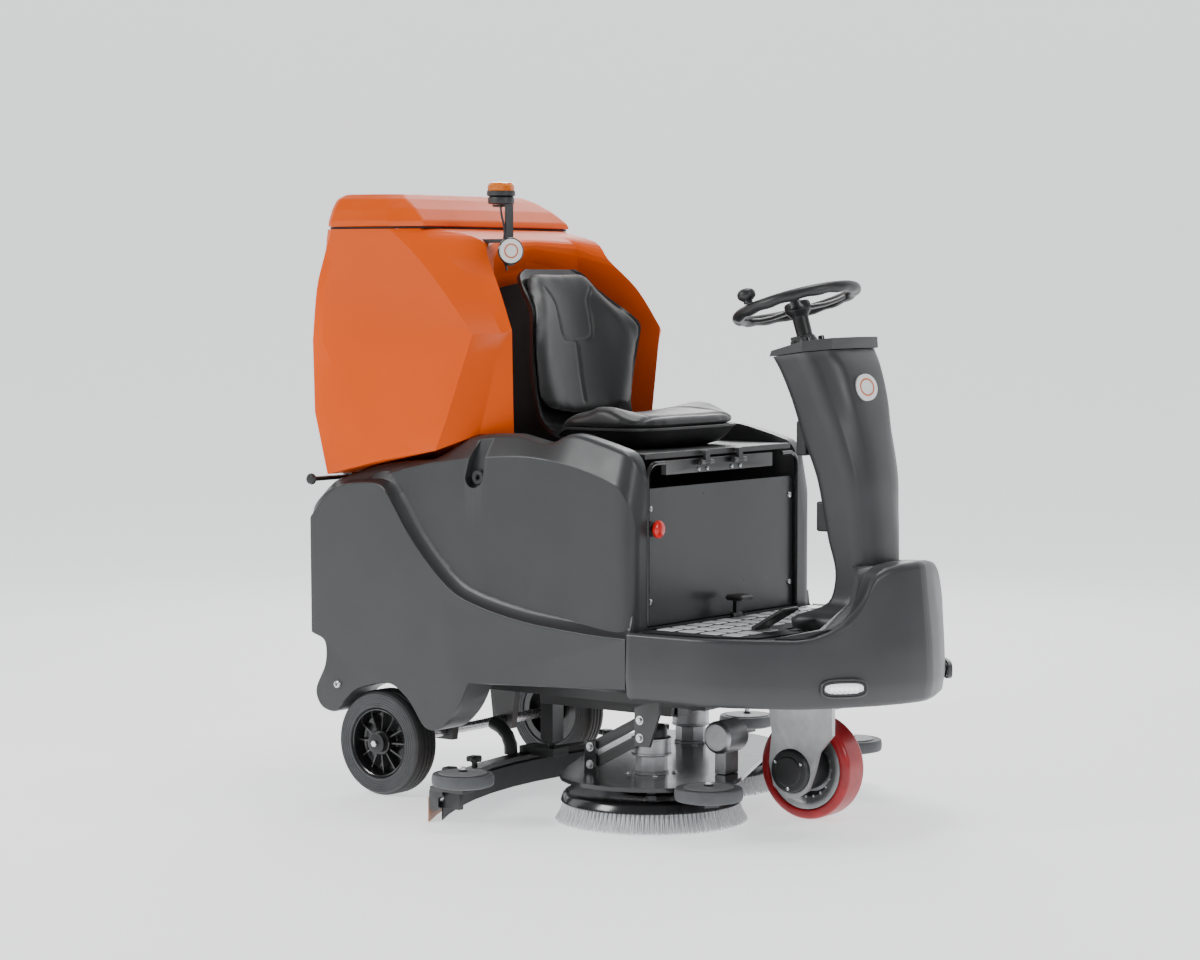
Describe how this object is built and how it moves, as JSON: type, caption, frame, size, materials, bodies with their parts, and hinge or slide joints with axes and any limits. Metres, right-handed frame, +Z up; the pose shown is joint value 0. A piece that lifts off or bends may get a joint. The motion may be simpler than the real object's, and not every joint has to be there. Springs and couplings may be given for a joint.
{
  "type": "ride-on floor scrubber",
  "caption": "Ride-on floor scrubber with tipping recovery tank, hinged seat, steered drive wheel, staggered disc brushes on a lifting deck and a swinging bowed squeegee.",
  "frame": {"origin": "centre of the bounding box in plan, on the floor", "axes": "+X forward (the way the driver faces), +Y to the driver's left, +Z up"},
  "size_m": [1.541, 1.272, 1.44],
  "materials": {
    "black_steel": "satin",
    "charcoal_plastic": "fine grain",
    "orange_plastic": "fine grain",
    "black_plastic": "matte",
    "panel_steel": "satin",
    "grey_rubber": "matte",
    "tyre_rubber": "matte",
    "red_polyurethane": "satin",
    "red_plastic": "gloss",
    "bare_steel": "bright",
    "cast_alloy": "cast",
    "chequer_aluminium": "bright with anti-slip pattern",
    "black_vinyl": "satin vinyl",
    "bristle_white": "nylon tufts in a black plate",
    "amber_rubber": "smooth",
    "orange_lens": "clear",
    "lamp_clear": "clear",
    "seal_rubber": "matte",
    "battery_case": "matte"
  },
  "bodies": {
    "chassis": {"chassis_frame": "black_steel", "solution_tank": "charcoal_plastic", "battery_pack_front": "battery_case", "battery_pack_rear": "battery_case", "front_deck": "charcoal_plastic", "tread_plate": "chequer_aluminium", "column_cover": "charcoal_plastic", "column_inner_panel": "black_plastic", "dashboard": "black_plastic", "front_panel": "panel_steel", "seat_crossbar": "black_steel", "emergency_button_base": "black_plastic", "headlight_right": "lamp_clear", "headlight_left": "lamp_clear", "rear_axle": "bare_steel", "steering_gearcase": "cast_alloy", "tank_hinge_rod": "black_plastic", "suction_motor": "black_plastic"},
    "rear_wheel_right": {"rear_rim_right": "black_plastic", "rear_tyre_right": "tyre_rubber"},
    "rear_wheel_left": {"rear_rim_left": "black_plastic", "rear_tyre_left": "tyre_rubber"},
    "steering_fork": {"steering_fork": "cast_alloy", "drive_motor": "black_plastic"},
    "drive_wheel": {"drive_hub": "cast_alloy", "drive_tyre": "red_polyurethane"},
    "steering_wheel": {"steering_wheel": "black_plastic", "steering_shaft": "bare_steel"},
    "spinner_knob": {"spinner_knob": "black_plastic"},
    "key_switch": {"key_switch": "black_plastic"},
    "seat": {"seat_plate": "black_plastic", "seat_shell": "black_plastic", "seat_back": "black_vinyl", "seat_cushion": "black_vinyl"},
    "recovery_tank": {"recovery_tank": "orange_plastic", "lid_gasket": "seal_rubber", "beacon_arm": "black_plastic", "beacon_base": "black_plastic", "beacon_lens": "orange_lens"},
    "tank_lid": {"tank_lid": "orange_plastic"},
    "emergency_button": {"emergency_button": "red_plastic"},
    "deck_link_upper": {"deck_link_upper": "black_steel"},
    "deck_link_lower": {"deck_link_lower": "black_steel"},
    "brush_deck": {"brush_deck": "black_steel", "brush_motor_right": "cast_alloy", "brush_motor_left": "cast_alloy", "solution_pump": "cast_alloy"},
    "brush_right": {"brush_right": "bristle_white"},
    "brush_left": {"brush_left": "bristle_white"},
    "deck_roller_right": {"deck_roller_right": "grey_rubber"},
    "deck_roller_left": {"deck_roller_left": "grey_rubber"},
    "squeegee_arm": {"squeegee_arm": "black_steel"},
    "squeegee": {"squeegee_bar": "black_steel", "squeegee_blade_rear": "amber_rubber", "squeegee_blade_front": "amber_rubber", "suction_hose": "black_plastic"},
    "squeegee_roller_right": {"squeegee_roller_right": "grey_rubber"},
    "squeegee_roller_left": {"squeegee_roller_left": "grey_rubber"},
    "drive_pedal": {"drive_pedal": "black_plastic"},
    "squeegee_pedal": {"squeegee_pedal": "black_plastic"}
  },
  "joints": [
    {"name": "rear_wheel_right_spin", "type": "hinge", "parent": "chassis", "child": "rear_wheel_right", "pos_m": [-0.509, -0.3305, 0.125], "axis": [0, 1, 0], "continuous": true},
    {"name": "rear_wheel_left_spin", "type": "hinge", "parent": "chassis", "child": "rear_wheel_left", "pos_m": [-0.509, 0.3305, 0.125], "axis": [0, 1, 0], "continuous": true},
    {"name": "fork_steer", "type": "hinge", "parent": "chassis", "child": "steering_fork", "pos_m": [0.468, 0, 0.3], "axis": [0, 0, 1], "range_deg": [-60, 60]},
    {"name": "drive_wheel_spin", "type": "hinge", "parent": "steering_fork", "child": "drive_wheel", "pos_m": [0.468, 0, 0.117], "axis": [0, 1, 0], "continuous": true},
    {"name": "steering_wheel_turn", "type": "hinge", "parent": "chassis", "child": "steering_wheel", "pos_m": [0.42, 0, 1.159], "axis": [-0.2974, 0, 0.9548], "range_deg": [-180, 180]},
    {"name": "spinner_knob_spin", "type": "hinge", "parent": "steering_wheel", "child": "spinner_knob", "pos_m": [0.38017, -0.12839, 1.14659], "axis": [-0.2974, 0, 0.9548], "continuous": true},
    {"name": "key_switch_turn", "type": "hinge", "parent": "chassis", "child": "key_switch", "pos_m": [0.476, -0.09, 1.0692], "axis": [-0.2228, 0, 0.9749], "range_deg": [-90, 0]},
    {"name": "seat_tilt", "type": "hinge", "parent": "chassis", "child": "seat", "pos_m": [0.2245, 0, 0.8], "axis": [0, 1, 0], "range_deg": [0, 45]},
    {"name": "recovery_tank_tilt", "type": "hinge", "parent": "chassis", "child": "recovery_tank", "pos_m": [-0.694, 0, 0.742], "axis": [0, 1, 0], "range_deg": [-70, 0]},
    {"name": "lid_open", "type": "hinge", "parent": "recovery_tank", "child": "tank_lid", "pos_m": [-0.714, 0, 1.338], "axis": [0, 1, 0], "range_deg": [-75, 0]},
    {"name": "emergency_button_press", "type": "slide", "parent": "chassis", "child": "emergency_button", "axis": [1, 0, 0], "range_m": [-0.005, 0], "stiffness_N_per_m": 400},
    {"name": "deck_lift", "type": "hinge", "parent": "chassis", "child": "deck_link_upper", "pos_m": [0.212, 0, 0.235], "axis": [0, 1, 0], "range_deg": [0, 26]},
    {"name": "deck_link_lower_swing", "type": "hinge", "parent": "chassis", "child": "deck_link_lower", "pos_m": [0.212, 0, 0.195], "axis": [0, 1, 0], "range_deg": [0, 26]},
    {"name": "deck_level", "type": "hinge", "parent": "deck_link_upper", "child": "brush_deck", "pos_m": [0.074, 0, 0.163], "axis": [0, 1, 0], "range_deg": [-26, 0]},
    {"name": "brush_right_spin", "type": "hinge", "parent": "brush_deck", "child": "brush_right", "pos_m": [0.192, -0.24, 0.05], "axis": [0, 0, 1], "continuous": true},
    {"name": "brush_left_spin", "type": "hinge", "parent": "brush_deck", "child": "brush_left", "pos_m": [0, 0.19, 0.05], "axis": [0, 0, 1], "continuous": true},
    {"name": "deck_roller_right_spin", "type": "hinge", "parent": "brush_deck", "child": "deck_roller_right", "pos_m": [0.442, -0.376, 0.1], "axis": [0, 0, 1], "continuous": true},
    {"name": "deck_roller_left_spin", "type": "hinge", "parent": "brush_deck", "child": "deck_roller_left", "pos_m": [0.3175, 0.405, 0.1], "axis": [0, 0, 1], "continuous": true},
    {"name": "squeegee_lift", "type": "hinge", "parent": "chassis", "child": "squeegee_arm", "pos_m": [0.091, 0, 0.214], "axis": [0, 1, 0], "range_deg": [0, 9]},
    {"name": "squeegee_swing", "type": "hinge", "parent": "squeegee_arm", "child": "squeegee", "pos_m": [-0.274, 0, 0.09], "axis": [0, 0, 1], "range_deg": [-8, 8]},
    {"name": "squeegee_roller_right_spin", "type": "hinge", "parent": "squeegee", "child": "squeegee_roller_right", "pos_m": [-0.089, -0.566, 0.1], "axis": [0, 0, 1], "continuous": true},
    {"name": "squeegee_roller_left_spin", "type": "hinge", "parent": "squeegee", "child": "squeegee_roller_left", "pos_m": [-0.089, 0.566, 0.1], "axis": [0, 0, 1], "continuous": true},
    {"name": "drive_pedal_press", "type": "hinge", "parent": "chassis", "child": "drive_pedal", "pos_m": [0.446, -0.18, 0.4475], "axis": [0, 1, 0], "range_deg": [0, 14], "stiffness_Nm_per_rad": 3},
    {"name": "squeegee_pedal_press", "type": "hinge", "parent": "chassis", "child": "squeegee_pedal", "pos_m": [0.259, 0, 0.4475], "axis": [0, 1, 0], "range_deg": [0, 18], "stiffness_Nm_per_rad": 2}
  ],
  "couplings": [
    {"joint": "steering_wheel_turn", "follows": "fork_steer", "ratio": 3},
    {"joint": "deck_link_lower_swing", "follows": "deck_lift", "ratio": 1},
    {"joint": "deck_level", "follows": "deck_lift", "ratio": -1}
  ]
}
